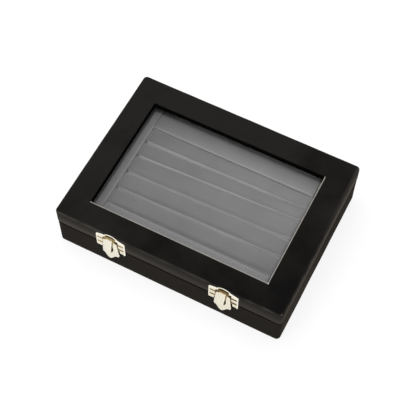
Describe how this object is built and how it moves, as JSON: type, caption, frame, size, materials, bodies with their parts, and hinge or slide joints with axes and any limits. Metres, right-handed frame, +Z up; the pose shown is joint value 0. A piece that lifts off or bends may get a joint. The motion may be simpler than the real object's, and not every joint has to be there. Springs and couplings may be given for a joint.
{
  "type": "cufflink box",
  "caption": "Low rectangular velvet-covered display box with a hinged glass-window lid, padded rolls for cufflinks inside and swinging clasps on the front.",
  "frame": {"origin": "centre of the box's underside, on the surface that it stands on", "axes": "+X to the right along the clasp side, +Y from the clasps towards the hinges, +Z up"},
  "size_m": [0.2, 0.1588, 0.0482],
  "materials": {
    "black_velvet": "matte",
    "grey_velvet": "matte",
    "underside_felt": "matte",
    "frame_board": "matte",
    "grey_card": "matte",
    "glass": "gloss",
    "clasp_metal": "polished",
    "hinge_metal": "satin"
  },
  "bodies": {
    "base": {"base_back_wall": "frame_board", "base_bottom_board": "frame_board", "base_front_wall": "frame_board", "base_left_wall": "frame_board", "base_right_wall": "frame_board", "base_velvet_cover": "black_velvet", "clasp_keeper_nails": "clasp_metal", "clasp_left_keeper": "clasp_metal", "clasp_right_keeper": "clasp_metal", "cufflink_roll_1": "grey_velvet", "cufflink_roll_2": "grey_velvet", "cufflink_roll_3": "grey_velvet", "cufflink_roll_4": "grey_velvet", "cufflink_roll_5": "grey_velvet", "hinge_base_nails": "hinge_metal", "hinge_left_base_leaf": "hinge_metal", "hinge_left_pin": "hinge_metal", "hinge_right_base_leaf": "hinge_metal", "hinge_right_pin": "hinge_metal", "insert_border_back": "grey_velvet", "insert_border_front": "grey_velvet", "insert_border_left": "grey_velvet", "insert_border_right": "grey_velvet", "insert_floor": "grey_card", "insert_risers": "frame_board", "underside_felt": "underside_felt"},
    "lid": {"clasp_left_pin": "clasp_metal", "clasp_left_plate": "clasp_metal", "clasp_plate_nails": "clasp_metal", "clasp_right_pin": "clasp_metal", "clasp_right_plate": "clasp_metal", "glass_packing_strips": "grey_card", "glass_pane": "glass", "hinge_left_lid_leaf": "hinge_metal", "hinge_lid_nails": "hinge_metal", "hinge_right_lid_leaf": "hinge_metal", "lid_back_lining": "grey_velvet", "lid_back_rail": "frame_board", "lid_back_skirt": "frame_board", "lid_front_lining": "grey_velvet", "lid_front_rail": "frame_board", "lid_front_skirt": "frame_board", "lid_left_lining": "grey_velvet", "lid_left_rail": "frame_board", "lid_left_skirt": "frame_board", "lid_right_lining": "grey_velvet", "lid_right_rail": "frame_board", "lid_right_skirt": "frame_board", "lid_velvet_cover": "black_velvet"},
    "left_flap": {"clasp_left_flap": "clasp_metal"},
    "right_flap": {"clasp_right_flap": "clasp_metal"}
  },
  "joints": [
    {"name": "lid_hinge", "type": "hinge", "parent": "base", "child": "lid", "pos_m": [0, 0.07695, 0.02985], "axis": [-1, 0, 0], "range_deg": [0, 100]},
    {"name": "left_clasp_swing", "type": "hinge", "parent": "lid", "child": "left_flap", "pos_m": [-0.04885, -0.07635, 0.045], "axis": [-1, 0, 0], "range_deg": [0, 100]},
    {"name": "right_clasp_swing", "type": "hinge", "parent": "lid", "child": "right_flap", "pos_m": [0.05065, -0.07635, 0.045], "axis": [-1, 0, 0], "range_deg": [0, 100]}
  ]
}
